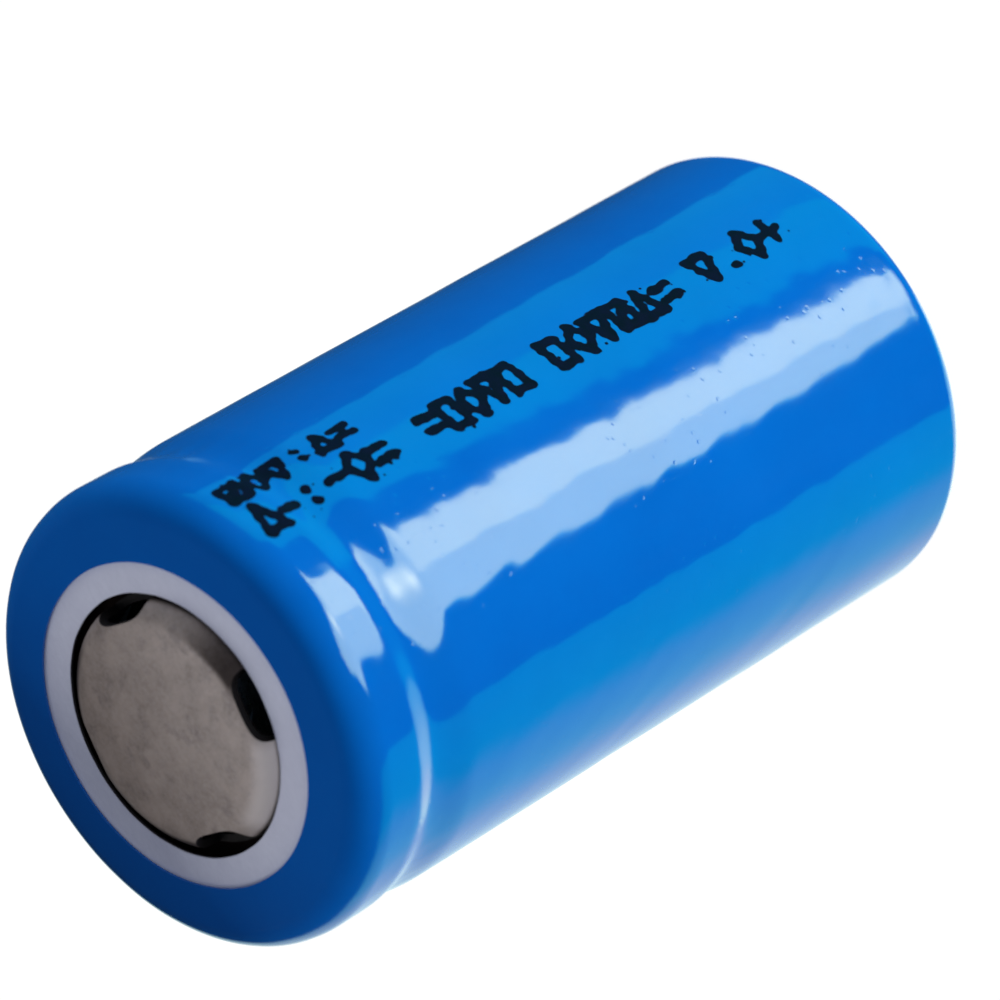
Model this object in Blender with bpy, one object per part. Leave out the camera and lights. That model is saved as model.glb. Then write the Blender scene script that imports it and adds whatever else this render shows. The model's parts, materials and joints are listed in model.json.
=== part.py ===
"""Cylindrical lithium-ion cell, 18350 format, as an assembly of separate pieces.

Frame: +Z runs along the cell's axis towards the positive end. The origin is
the centre of the negative terminal face. Lengths are in millimetres and are
turned into metres where a mesh is made. Outlines are (radius, height) points.
"""

from math import cos, hypot, pi, radians, sin

import bmesh
import bpy
from mathutils import Vector

MM = 0.001

# ---- shared dimensions --------------------------------------------------------
CELL_LENGTH = 35.0  # negative face to positive face
CELL_RADIUS = 9.15  # over the film sleeve
SIDES = 40  # facets of every turned piece, so that nested walls stay parallel
SHARP_ANGLE = radians(30)
WELD_DISTANCE = 1e-8  # metres
CLEARANCE = 0.03  # between pieces that touch on the real cell
CUTTER_HEIGHT = 2.0  # of the cutters that go through a flat disc


# ---- scene and meshes ---------------------------------------------------------
def clear_scene():
    for obj in list(bpy.data.objects):
        bpy.data.objects.remove(obj, do_unlink=True)


def material(name, colour, roughness, metallic=0.0):
    made = bpy.data.materials.new(name)
    made.use_nodes = True
    shader = made.node_tree.nodes["Principled BSDF"]
    shader.inputs["Base Color"].default_value = (*colour, 1.0)
    shader.inputs["Roughness"].default_value = roughness
    shader.inputs["Metallic"].default_value = metallic
    return made


def add_object(name, bm):
    """Turns a bmesh into an object in the scene and frees the bmesh."""
    mesh = bpy.data.meshes.new(name)
    bm.to_mesh(mesh)
    bm.free()
    obj = bpy.data.objects.new(name, mesh)
    bpy.context.scene.collection.objects.link(obj)
    return obj


def add_piece(name, bm, finish):
    """Adds a bmesh as one piece, welded, facing out and shaded smooth."""
    bmesh.ops.remove_doubles(bm, verts=bm.verts[:], dist=WELD_DISTANCE)
    bmesh.ops.recalc_face_normals(bm, faces=bm.faces[:])
    obj = add_object(name, bm)
    obj.data.shade_smooth()
    obj.data.set_sharp_from_angle(angle=SHARP_ANGLE)
    obj.data.materials.append(finish)
    return obj


def turned(name, outline, finish):
    """A closed outline spun about Z. An outline that starts and ends on the
    axis makes a piece with no bore."""
    bm = bmesh.new()
    points = [bm.verts.new((radius * MM, 0.0, z * MM)) for radius, z in outline]
    edges = [bm.edges.new(pair) for pair in zip(points, points[1:])]
    if outline[0][0] > 0 or outline[-1][0] > 0:
        edges.append(bm.edges.new((points[-1], points[0])))
    bmesh.ops.spin(
        bm,
        geom=points + edges,
        cent=(0, 0, 0),
        axis=(0, 0, 1),
        angle=2 * pi,
        steps=SIDES,
        use_merge=True,
    )
    return add_piece(name, bm, finish)


def ring(name, inner, outer, heights, finish):
    """A flat ring of rectangular section."""
    low, high = heights
    outline = [(inner, low), (outer, low), (outer, high), (inner, high)]
    return turned(name, outline, finish)


def loft(name, loops, finish):
    """A solid through equal closed loops of points, capped at both ends."""
    bm = bmesh.new()
    rows = [[bm.verts.new(Vector(point) * MM) for point in loop] for loop in loops]
    count = len(rows[0])
    for row, following in zip(rows, rows[1:]):
        for i in range(count):
            j = (i + 1) % count
            bm.faces.new((row[i], row[j], following[j], following[i]))
    bm.faces.new(rows[0][::-1])
    bm.faces.new(rows[-1])
    return add_piece(name, bm, finish)


# ---- outlines -----------------------------------------------------------------
def arc(centre, radii, start_deg, end_deg, steps):
    """Points of an elliptical arc in the (radius, height) plane."""
    points = []
    for i in range(steps + 1):
        turn = radians(start_deg + (end_deg - start_deg) * i / steps)
        points.append((centre[0] + radii[0] * cos(turn), centre[1] + radii[1] * sin(turn)))
    return points


def offset(line, distance):
    """The line moved to its left by a distance, mitred at its corners."""
    normals = []
    for start, end in zip(line, line[1:]):
        run, rise = end[0] - start[0], end[1] - start[1]
        size = hypot(run, rise)
        normals.append((-rise / size, run / size))
    moved = []
    for i, (radius, z) in enumerate(line):
        beside = normals[max(i - 1, 0):i + 1]
        sum_r = sum(normal[0] for normal in beside)
        sum_z = sum(normal[1] for normal in beside)
        scale = distance * len(beside) / (sum_r * sum_r + sum_z * sum_z)
        moved.append((radius + sum_r * scale, z + sum_z * scale))
    return moved


def span_above(span, gap, thick):
    """Heights of a layer of a thickness, a gap above another layer."""
    low = span[1] + gap
    return low, low + thick


# ---- cutters ------------------------------------------------------------------
def cut(piece, name, bm, location, turn=0.0):
    """Takes a hidden cutter, made from a bmesh, away from a piece."""
    tool = add_object(name, bm)
    tool.location = Vector(location) * MM
    tool.rotation_euler = (0, 0, turn)
    tool.hide_render = True
    tool.display_type = "WIRE"
    modifier = piece.modifiers.new("cut_" + name, "BOOLEAN")
    modifier.operation = "DIFFERENCE"
    modifier.solver = "EXACT"
    modifier.object = tool


def cut_box(piece, name, size, location, turn=0.0):
    bm = bmesh.new()
    bmesh.ops.create_cube(bm, size=1.0)
    bmesh.ops.scale(bm, vec=Vector(size) * MM, verts=bm.verts[:])
    cut(piece, name, bm, location, turn)


def cut_holes(piece, name, turns_deg, radius, circle_r, heights, sides):
    """Round holes through a disc, at angles on a circle about the axis."""
    for i, degrees in enumerate(turns_deg):
        bm = bmesh.new()
        bmesh.ops.create_cone(
            bm,
            cap_ends=True,
            segments=sides,
            radius1=radius * MM,
            radius2=radius * MM,
            depth=CUTTER_HEIGHT * MM,
        )
        turn = radians(degrees)
        location = (circle_r * cos(turn), circle_r * sin(turn), sum(heights) / 2)
        cut(piece, f"{name}_{i}", bm, location)


# ---- can ----------------------------------------------------------------------
CAN_R = 9.00
CAN_WALL = 0.25
CAN_FLOOR = 0.40  # inner face of the bottom
CAN_CORNER = 0.50  # rounding at the foot of the wall
TERMINAL_R = 6.00  # coined flat on the can bottom, the negative terminal
TERMINAL_STEP = 0.15
TERMINAL_SLOPE = 0.20  # radial width of the step
BEAD_Z = 30.55  # centre of the rolled groove
BEAD_DEPTH = 0.90
BEAD_FLAT = 0.50
BEAD_HEIGHT = 3.30
BEAD_STEPS = 8
CRIMP_START_Z = 32.25
CRIMP_TOP_Z = 34.20
CRIMP_IN = 1.15  # how far the top edge curves inward before it lies flat
LIP_R = 6.95


def bead_depth_at(z):
    """How far the groove goes in at a height: a flat floor between two smooth flanks."""
    away = abs(z - BEAD_Z)
    if away <= BEAD_FLAT / 2:
        return BEAD_DEPTH
    reach = BEAD_HEIGHT / 2 - BEAD_FLAT / 2
    share = min(1.0, (away - BEAD_FLAT / 2) / reach)
    return BEAD_DEPTH * (1 + cos(pi * share)) / 2


def can_wall_line():
    """Outer line of the can's wall, from its bottom corner up and over to the lip."""
    corner = (CAN_R - CAN_CORNER, TERMINAL_STEP + CAN_CORNER)
    line = arc(corner, (CAN_CORNER, CAN_CORNER), -90, 0, 3)
    for i in range(BEAD_STEPS + 1):
        z = BEAD_Z - BEAD_HEIGHT / 2 + BEAD_HEIGHT * i / BEAD_STEPS
        line.append((CAN_R - bead_depth_at(z), z))
    crimp_radii = (CRIMP_IN, CRIMP_TOP_Z - CRIMP_START_Z)
    line += arc((CAN_R - CRIMP_IN, CRIMP_START_Z), crimp_radii, 0, 90, 5)
    line.append((LIP_R, CRIMP_TOP_Z))
    return line


def make_can():
    wall = can_wall_line()
    outline = [(0.0, 0.0), (TERMINAL_R, 0.0), (TERMINAL_R + TERMINAL_SLOPE, TERMINAL_STEP)]
    outline += wall
    outline += offset(wall, CAN_WALL)[::-1]
    outline.append((0.0, CAN_FLOOR))
    turned("steel_can", outline, NICKEL)


# ---- film sleeve and the ring under its upper fold ----------------------------
FILM = 0.09  # shrink film
FILM_TOP_Z = 34.50  # upper face of the film folded over the top
FILM_TOP_EDGE_R = 6.30  # open edge of the upper fold
FILM_TOP_CURVE = (1.25, 2.35)  # radii of the shoulder, inward and down
FILM_BOTTOM_Z = 0.02
FILM_BOTTOM_EDGE_R = 6.60  # open edge of the lower fold
FILM_CORNER = 0.62
FILM_DIP = 0.13  # how far the film sinks over the groove
FILM_DIP_HEIGHT = 2.60
FILM_DIP_STEPS = 4

WASHER_IN_R = 5.12
WASHER_OUT_R = 7.40
WASHER_THICK = 0.15
WASHER_GAP = 0.02


def make_sleeve():
    """The outer line runs from the lower fold's edge to the upper fold's edge."""
    outside = [(FILM_BOTTOM_EDGE_R, FILM_BOTTOM_Z)]
    corner = (CELL_RADIUS - FILM_CORNER, FILM_BOTTOM_Z + FILM_CORNER)
    outside += arc(corner, (FILM_CORNER, FILM_CORNER), -90, 0, 3)
    for i in range(FILM_DIP_STEPS + 1):
        share = i / FILM_DIP_STEPS
        z = BEAD_Z - FILM_DIP_HEIGHT / 2 + FILM_DIP_HEIGHT * share
        outside.append((CELL_RADIUS - FILM_DIP * sin(pi * share) ** 2, z))
    shoulder = (CELL_RADIUS - FILM_TOP_CURVE[0], FILM_TOP_Z - FILM_TOP_CURVE[1])
    outside += arc(shoulder, FILM_TOP_CURVE, 0, 90, 6)
    outside.append((FILM_TOP_EDGE_R, FILM_TOP_Z))
    turned("wrap_sleeve", outside + offset(outside, FILM)[::-1], FILM_BLUE)


def make_washer():
    low = CRIMP_TOP_Z + WASHER_GAP
    heights = (low, low + WASHER_THICK)
    ring("top_insulator_ring", WASHER_IN_R, WASHER_OUT_R, heights, WASHER_WHITE)


# ---- crimp stack: vent disc, PTC ring and cap flange, held in the gasket -------
STACK_R = 7.90  # outer radius of the three
STACK_GAP = 0.05
VENT_RIM_Z = (32.20, 32.50)
PTC_Z = span_above(VENT_RIM_Z, STACK_GAP, 0.30)
FLANGE_Z = span_above(PTC_Z, STACK_GAP, 0.40)
PTC_IN_R = 5.60

CAP_R = 4.60  # raised top of the cap
CAP_BASE_R = 4.75
CAP_EDGE = 0.40  # rounding of its upper edge
CAP_SHEET = 0.35
CAP_INNER_TAPER = 0.02  # extra thickness at the top of the wall
CAP_INNER_CHAMFER = 0.10
VENT_WINDOWS = 4
VENT_WIDTH = 2.80
VENT_IN_R = 4.20  # each window is a chord cut this far from the axis
VENT_DEPTH = 1.60  # radial size of a window's cutter
VENT_LOW_Z = 33.55
VENT_OVERCUT = 0.30  # cutter height above the cap
VENT_FIRST_DEG = -100.0

GASKET_IN_R = 7.15
GASKET_FOOT_R = 8.15
GASKET_FOOT_RISE = 1.10  # underside of the foot over the groove's centre
GASKET_WALL_RISE = 1.35  # the wall follows the can from here up
GASKET_WALL_MIN = 0.15  # the wall follows the can only this far outside the stack
GASKET_CAN_GAP = CLEARANCE + 0.02
GASKET_LIP_IN = 0.12  # how far the lip shows inside the can's lip

VENT_SHEET = 0.25
VENT_FLOOR_Z = 31.72  # underside of the sunk part of the vent disc
VENT_SLOPE_UNDER_R = (5.15, 5.60)  # foot and head of the slope up to the rim
VENT_SLOPE_OVER_R = (4.95, 5.42)
SCORE_R = 3.22  # the disc parts here
SCORE_GAP = 0.04
DIMPLE_R = 1.20
DIMPLE_Z = 31.35
DIMPLE_SLOPE_UNDER = 0.35  # top of the dimple's side, out from its radius
DIMPLE_SLOPE_OVER = (-0.10, 0.25)  # bottom and top on the upper face


def make_cap():
    low, high = FLANGE_Z
    top = CELL_LENGTH
    outline = [(0.0, top)]
    outline += arc((CAP_R - CAP_EDGE, top - CAP_EDGE), (CAP_EDGE, CAP_EDGE), 90, 0, 4)
    outline += [(CAP_BASE_R, high), (STACK_R, high), (STACK_R, low)]
    inner_r = CAP_R - CAP_SHEET - CAP_INNER_TAPER
    inner_top = top - CAP_SHEET
    outline += [
        (CAP_BASE_R - CAP_SHEET, low),
        (inner_r, inner_top - CAP_INNER_CHAMFER),
        (inner_r - CAP_INNER_CHAMFER, inner_top),
        (0.0, inner_top),
    ]
    cap = turned("positive_cap", outline, NICKEL_CAP)

    height = top + VENT_OVERCUT - VENT_LOW_Z
    middle = VENT_IN_R + VENT_DEPTH / 2
    for i in range(VENT_WINDOWS):
        turn = radians(VENT_FIRST_DEG + 360 / VENT_WINDOWS * i)
        location = (middle * cos(turn), middle * sin(turn), VENT_LOW_Z + height / 2)
        size = (VENT_DEPTH, VENT_WIDTH, height)
        cut_box(cap, f"window_cutter_{i}", size, location, turn)


def make_gasket():
    """U-shaped seal: a foot under the stack, a wall round it and a lip over it."""
    wall = [
        (radius, z)
        for radius, z in offset(can_wall_line(), CAN_WALL + GASKET_CAN_GAP)
        if z > BEAD_Z + GASKET_WALL_RISE and radius > STACK_R + GASKET_WALL_MIN
    ]
    foot_z = BEAD_Z + GASKET_FOOT_RISE
    lip_r = LIP_R - GASKET_LIP_IN
    under_stack = VENT_RIM_Z[0] - CLEARANCE
    over_stack = FLANGE_Z[1] + CLEARANCE
    outline = [(GASKET_IN_R, foot_z), (GASKET_FOOT_R, foot_z)]
    outline += wall
    outline += [
        (lip_r, CRIMP_TOP_Z - CAN_WALL - GASKET_CAN_GAP),
        (lip_r, over_stack),
        (STACK_R + CLEARANCE, over_stack),
        (STACK_R + CLEARANCE, under_stack),
        (GASKET_IN_R, under_stack),
    ]
    turned("crimp_gasket", outline, GASKET_PLASTIC)


def make_vent_disc():
    """Two pieces, a rim and a dimpled centre, parted at the score."""
    low, high = VENT_RIM_Z
    under, over = VENT_FLOOR_Z, VENT_FLOOR_Z + VENT_SHEET
    rim_edge = SCORE_R + SCORE_GAP / 2
    rim = [
        (rim_edge, under),
        (VENT_SLOPE_UNDER_R[0], under),
        (VENT_SLOPE_UNDER_R[1], low),
        (STACK_R, low),
        (STACK_R, high),
        (VENT_SLOPE_OVER_R[1], high),
        (VENT_SLOPE_OVER_R[0], over),
        (rim_edge, over),
    ]
    turned("vent_disc_rim", rim, ALUMINIUM)
    centre_edge = SCORE_R - SCORE_GAP / 2
    centre = [
        (0.0, DIMPLE_Z),
        (DIMPLE_R, DIMPLE_Z),
        (DIMPLE_R + DIMPLE_SLOPE_UNDER, under),
        (centre_edge, under),
        (centre_edge, over),
        (DIMPLE_R + DIMPLE_SLOPE_OVER[1], over),
        (DIMPLE_R + DIMPLE_SLOPE_OVER[0], DIMPLE_Z + VENT_SHEET),
        (0.0, DIMPLE_Z + VENT_SHEET),
    ]
    turned("vent_disc_centre", centre, ALUMINIUM)


# ---- contact plate under the vent disc, and its insulator ---------------------
CID_PLATE_Z = (31.05, 31.33)
CID_PLATE_R = 5.90
PLATE_HOLE_R = 0.55
PLATE_HOLE_CIRCLE_R = 3.0
CID_RING_OUT_R = 6.40
CID_RING_IN_R = 4.10
CID_RING_TOP_Z = 31.95
CID_RING_SLOPE_R = (5.42, 5.75)  # foot and head of the slope beside the vent disc


def make_contact_plate():
    low, high = CID_PLATE_Z
    outline = [(0.0, low), (CID_PLATE_R, low), (CID_PLATE_R, high), (0.0, high)]
    plate = turned("cid_plate", outline, ALUMINIUM)
    cut_holes(
        plate,
        "plate_hole",
        turns_deg=range(30, 390, 60),
        radius=PLATE_HOLE_R,
        circle_r=PLATE_HOLE_CIRCLE_R,
        heights=CID_PLATE_Z,
        sides=12,
    )


def make_cid_insulator():
    """A shelf between plate and vent disc, with a skirt round the plate."""
    low = CID_PLATE_Z[0]
    shelf_under = CID_PLATE_Z[1] + CLEARANCE
    shelf_top = VENT_FLOOR_Z - CLEARANCE
    skirt_r = CID_PLATE_R + CLEARANCE
    outline = [
        (CID_RING_IN_R, shelf_under),
        (skirt_r, shelf_under),
        (skirt_r, low),
        (CID_RING_OUT_R, low),
        (CID_RING_OUT_R, CID_RING_TOP_Z),
        (CID_RING_SLOPE_R[1], CID_RING_TOP_Z),
        (CID_RING_SLOPE_R[0], shelf_top),
        (CID_RING_IN_R, shelf_top),
    ]
    turned("cid_insulator_ring", outline, GASKET_PLASTIC)


# ---- wound roll: strips side by side in one spiral ----------------------------
CORE_R = 1.95
SEPARATOR = 0.08
ELECTRODE = 0.31
LAYER_GAP = 0.025
# inner face of each layer, out from the spiral's own line
INNER_SEPARATOR_AT = 0.0
CATHODE_AT = INNER_SEPARATOR_AT + SEPARATOR + LAYER_GAP
OUTER_SEPARATOR_AT = CATHODE_AT + ELECTRODE + LAYER_GAP
ANODE_AT = OUTER_SEPARATOR_AT + SEPARATOR + LAYER_GAP
PITCH = ANODE_AT + ELECTRODE + LAYER_GAP

STATIONS = 24  # per turn
STATION_SHIFT = radians(7.5)
LAST_STATION = int(6.5 * STATIONS)  # outer end of the anode
SEPARATOR_END = LAST_STATION + STATIONS - 2  # outer end of the inner separator
# separators stand past the anode, and the anode past the cathode
SEPARATOR_Z = (0.80, 28.30)
ANODE_Z = (1.00, 28.05)
CATHODE_Z = (1.25, 27.80)
TAPE = 0.05
ROLL_TAPE_Z = (3.0, 26.5)

BARE_DEPTH = 0.20  # step down to the uncoated band of an electrode, where its tab lies
BARE_HALF = 1.5  # half the band's length, in stations
BARE_RAMP = 0.12  # stations over which the coating steps down
POSITIVE_STATION = 4 * STATIONS - 0.5  # faces +X, at the end of the fourth turn
NEGATIVE_STATION = LAST_STATION - 2.5

TAB = 0.10
TAB_GAP = 0.02  # between the bare band and its tab
TAB_TAPE_GAP = 0.01
TAB_REACH = 1.2  # how far a tab's end runs past the axis
POSITIVE_SEAT_Z = CID_PLATE_Z[0] - CLEARANCE - TAB / 2
NEGATIVE_SEAT_Z = CAN_FLOOR + CLEARANCE + TAB / 2
# the turn of each tab towards the axis:
# (distance in from the upright part, height, lean in degrees; 90 lies flat)
POSITIVE_BENDS = (
    (0.0, 29.9, 0),
    (0.12, 30.45, 25),
    (0.45, 30.85, 60),
    (0.95, POSITIVE_SEAT_Z, 90),
)
NEGATIVE_BENDS = (
    (0.0, 0.75, 0),
    (0.04, 0.60, 25),
    (0.16, NEGATIVE_SEAT_Z + 0.03, 60),
    (0.32, NEGATIVE_SEAT_Z, 90),
)


def spiral_point(station, outward):
    """Point of the spiral at a station number, moved away from the axis."""
    turn = STATION_SHIFT + 2 * pi * station / STATIONS
    radius = CORE_R + PITCH * station / STATIONS + outward
    return Vector((radius * cos(turn), radius * sin(turn)))


def spiral_between(station, outward):
    """As spiral_point, and straight between whole stations."""
    whole = int(station)
    before, after = spiral_point(whole, outward), spiral_point(whole + 1, outward)
    return before.lerp(after, station - whole)


def strip(name, first, last, inner, thick, heights, finish, bare_at=None):
    """One wound strip. Its outer side steps in over the bare band centred on
    station bare_at, if it has one."""
    stations = list(range(first, last + 1))
    if bare_at is not None:
        reach = BARE_HALF + BARE_RAMP
        stations = sorted(stations + [bare_at - reach, bare_at + reach])
    low, high = heights
    loops = []
    for station in stations:
        is_bare = bare_at is not None and abs(station - bare_at) <= BARE_HALF
        depth = thick - BARE_DEPTH if is_bare else thick
        near = spiral_between(station, inner)
        far = spiral_between(station, inner + depth)
        loops.append([(*near, low), (*far, low), (*far, high), (*near, high)])
    loft(name, loops, finish)


def ribbon(name, station, inner, thick, overhang, heights, finish, bends=(), fold=1):
    """A flat ribbon along Z at a station, then through bends of (radius, height,
    lean). The overhang is its width past half a station on each side. Fold is
    +1 where it turns inward at its upper end and -1 at its lower end."""
    across = [station + share for share in (-0.5 - overhang, -0.5, 0.5, 0.5 + overhang)]
    near, far = (
        [spiral_between(place, outward) for place in across]
        for outward in (inner, inner + thick)
    )
    loops = [[(*point, z) for point in near + far[::-1]] for z in heights]

    middle = spiral_between(station, inner + thick / 2)
    radial = middle.normalized()
    sideways = Vector((-radial.y, radial.x))
    spread = [(point - middle).dot(sideways) for point in near]
    for radius, height, lean in bends:
        loop = []
        for half, shifts in ((-thick / 2, spread), (thick / 2, spread[::-1])):
            face_r = radius + half * cos(radians(lean))
            face_z = height + half * sin(radians(lean)) * fold
            loop += [(*(radial * face_r + sideways * shift), face_z) for shift in shifts]
        loops.append(loop)
    loft(name, loops, finish)


def make_tab(name, station, electrode_at, overhangs, heights, tape_heights, bends, fold, finish):
    """A tab on an electrode's bare band, and the tape over it. Overhangs are
    the tab's and the tape's."""
    inner = electrode_at + ELECTRODE - BARE_DEPTH + TAB_GAP
    upright_r = spiral_between(station, inner + TAB / 2).length
    path = [(upright_r - inward, z, lean) for inward, z, lean in bends]
    path.append((-TAB_REACH, bends[-1][1], 90))
    ribbon(name, station, inner, TAB, overhangs[0], heights, finish, path, fold)
    tape_at = inner + TAB + TAB_TAPE_GAP
    ribbon(name + "_tape", station, tape_at, TAPE, overhangs[1], tape_heights, TAPE_AMBER)


def make_strips():
    strip("separator_inner", 0, SEPARATOR_END, INNER_SEPARATOR_AT, SEPARATOR,
          SEPARATOR_Z, SEPARATOR_FILM)
    strip("cathode_sheet", 4, LAST_STATION - 4, CATHODE_AT, ELECTRODE,
          CATHODE_Z, CATHODE_COAT, bare_at=POSITIVE_STATION)
    strip("separator_outer", 0, LAST_STATION + 2, OUTER_SEPARATOR_AT, SEPARATOR,
          SEPARATOR_Z, SEPARATOR_FILM)
    strip("anode_sheet", 2, LAST_STATION, ANODE_AT, ELECTRODE,
          ANODE_Z, ANODE_COAT, bare_at=NEGATIVE_STATION)
    # the tape lies outside the inner separator's last turn
    strip("roll_tape", SEPARATOR_END - STATIONS + 2, SEPARATOR_END, CATHODE_AT, TAPE,
          ROLL_TAPE_Z, TAPE_GREEN)


def make_tabs():
    make_tab(
        "positive_tab",
        POSITIVE_STATION,
        CATHODE_AT,
        overhangs=(0.75, 0.85),
        heights=(4.0, 29.2),
        tape_heights=(24.0, 29.1),
        bends=POSITIVE_BENDS,
        fold=1,
        finish=ALUMINIUM,
    )
    make_tab(
        "negative_tab",
        NEGATIVE_STATION,
        ANODE_AT,
        overhangs=(0.30, 0.45),
        heights=(26.0, 0.95),
        tape_heights=(26.5, 1.2),
        bends=NEGATIVE_BENDS,
        fold=-1,
        finish=NICKEL,
    )


# ---- insulator discs above and below the roll ---------------------------------
DISC_BORE_R = 1.60
TOP_DISC_Z = (28.45, 28.63)
TOP_DISC_R = 8.55
BOTTOM_DISC_Z = (0.57, 0.69)
BOTTOM_DISC_R = 7.40
TAB_SLOT_SIZE = (1.1, 4.6, CUTTER_HEIGHT)
TAB_SLOT_R = CORE_R + PITCH * 3.95 + 0.35  # slot centre, on +X by the positive tab
GAS_HOLE_R = 1.0
GAS_HOLE_CIRCLE_R = 4.8


def make_discs():
    disc = ring("top_insulator_disc", DISC_BORE_R, TOP_DISC_R, TOP_DISC_Z, FIBRE)
    cut_box(disc, "tab_slot", TAB_SLOT_SIZE, (TAB_SLOT_R, 0, sum(TOP_DISC_Z) / 2))
    cut_holes(
        disc,
        "gas_hole",
        turns_deg=(90, 180, 270),
        radius=GAS_HOLE_R,
        circle_r=GAS_HOLE_CIRCLE_R,
        heights=TOP_DISC_Z,
        sides=16,
    )
    ring("bottom_insulator_disc", DISC_BORE_R, BOTTOM_DISC_R, BOTTOM_DISC_Z, FIBRE)


# ---- build --------------------------------------------------------------------
clear_scene()

FILM_BLUE = material("film_blue", colour=(0.004, 0.13, 0.52), roughness=0.22)
WASHER_WHITE = material("washer_white", colour=(0.55, 0.57, 0.60), roughness=0.55)
NICKEL = material("nickel_plate", colour=(0.55, 0.53, 0.50), roughness=0.32, metallic=1.0)
NICKEL_CAP = material("nickel_cap", colour=(0.42, 0.38, 0.35), roughness=0.42, metallic=1.0)
GASKET_PLASTIC = material("gasket_plastic", colour=(0.60, 0.62, 0.60), roughness=0.45)
PTC_BLACK = material("ptc_polymer", colour=(0.03, 0.03, 0.03), roughness=0.55)
ALUMINIUM = material("aluminium", colour=(0.72, 0.73, 0.75), roughness=0.35, metallic=1.0)
FIBRE = material("insulator_fibre", colour=(0.40, 0.46, 0.40), roughness=0.80)
CATHODE_COAT = material("cathode_coating", colour=(0.035, 0.035, 0.04), roughness=0.75)
ANODE_COAT = material("anode_coating", colour=(0.06, 0.055, 0.055), roughness=0.85)
SEPARATOR_FILM = material("separator_film", colour=(0.80, 0.80, 0.80), roughness=0.50)
TAPE_GREEN = material("tape_green", colour=(0.05, 0.35, 0.18), roughness=0.40)
TAPE_AMBER = material("tape_amber", colour=(0.62, 0.28, 0.03), roughness=0.35)

make_sleeve()
make_washer()
make_can()
make_cap()
make_gasket()
ring("ptc_ring", PTC_IN_R, STACK_R, PTC_Z, PTC_BLACK)
make_vent_disc()
make_contact_plate()
make_cid_insulator()
make_discs()
make_strips()
make_tabs()
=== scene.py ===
"""Looks of a cylindrical lithium-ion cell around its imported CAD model.

Row frame: +Z along the axis to the positive end, origin on the negative face.
Lengths below are millimetres unless a name says otherwise.
"""

import json
from math import atan2, cos, degrees, hypot, pi, radians, sin, sqrt

import bmesh
import bpy
import numpy as np
from mathutils import Matrix, Vector

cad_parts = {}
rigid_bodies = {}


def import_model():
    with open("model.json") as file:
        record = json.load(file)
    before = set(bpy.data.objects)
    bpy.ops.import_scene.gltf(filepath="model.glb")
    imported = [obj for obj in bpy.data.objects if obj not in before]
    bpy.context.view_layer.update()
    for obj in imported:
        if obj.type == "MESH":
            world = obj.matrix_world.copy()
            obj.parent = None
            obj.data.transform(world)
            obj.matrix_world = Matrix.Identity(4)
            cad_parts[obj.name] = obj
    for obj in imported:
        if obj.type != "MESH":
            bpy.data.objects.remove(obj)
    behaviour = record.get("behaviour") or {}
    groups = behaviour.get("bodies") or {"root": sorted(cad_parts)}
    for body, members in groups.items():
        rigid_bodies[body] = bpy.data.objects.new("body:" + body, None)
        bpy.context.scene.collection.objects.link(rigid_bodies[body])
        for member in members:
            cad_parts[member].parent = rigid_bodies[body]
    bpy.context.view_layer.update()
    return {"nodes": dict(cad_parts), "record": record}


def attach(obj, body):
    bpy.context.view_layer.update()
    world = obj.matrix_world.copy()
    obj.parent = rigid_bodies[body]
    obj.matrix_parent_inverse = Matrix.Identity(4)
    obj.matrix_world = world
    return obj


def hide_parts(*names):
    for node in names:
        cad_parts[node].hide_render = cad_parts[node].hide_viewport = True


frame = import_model()
MM = 0.001
TAU = 2 * pi


# ------------------------------------------------------------------ mesh tools
def new_object(name, mesh, finish, sharp=32.0):
    mesh.shade_smooth()
    if sharp:
        mesh.set_sharp_from_angle(angle=radians(sharp))
    mesh.materials.append(finish)
    obj = bpy.data.objects.new(name, mesh)
    bpy.context.scene.collection.objects.link(obj)
    return obj


def mesh_of(name, verts, faces):
    mesh = bpy.data.meshes.new(name)
    mesh.from_pydata(np.asarray(verts, float).tolist(), [], faces)
    mesh.validate()
    mesh.update()
    return mesh


def resample(line, step):
    """Points along an (r, z) polyline no further apart than step, corners kept."""
    out = [tuple(line[0])]
    for (r0, z0), (r1, z1) in zip(line, line[1:]):
        n = max(1, int(np.ceil(hypot(r1 - r0, z1 - z0) / step)))
        out += [(r0 + (r1 - r0) * i / n, z0 + (z1 - z0) * i / n) for i in range(1, n + 1)]
    return out


def line_normals(points):
    """Unit normals to the right of a polyline, which is outward on one that runs
    up its outer side."""
    p = np.asarray(points, float)
    step = np.gradient(p, axis=0)
    size = np.maximum(np.hypot(step[:, 0], step[:, 1]), 1e-12)
    return np.stack([step[:, 1] / size, -step[:, 0] / size], axis=1)


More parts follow.
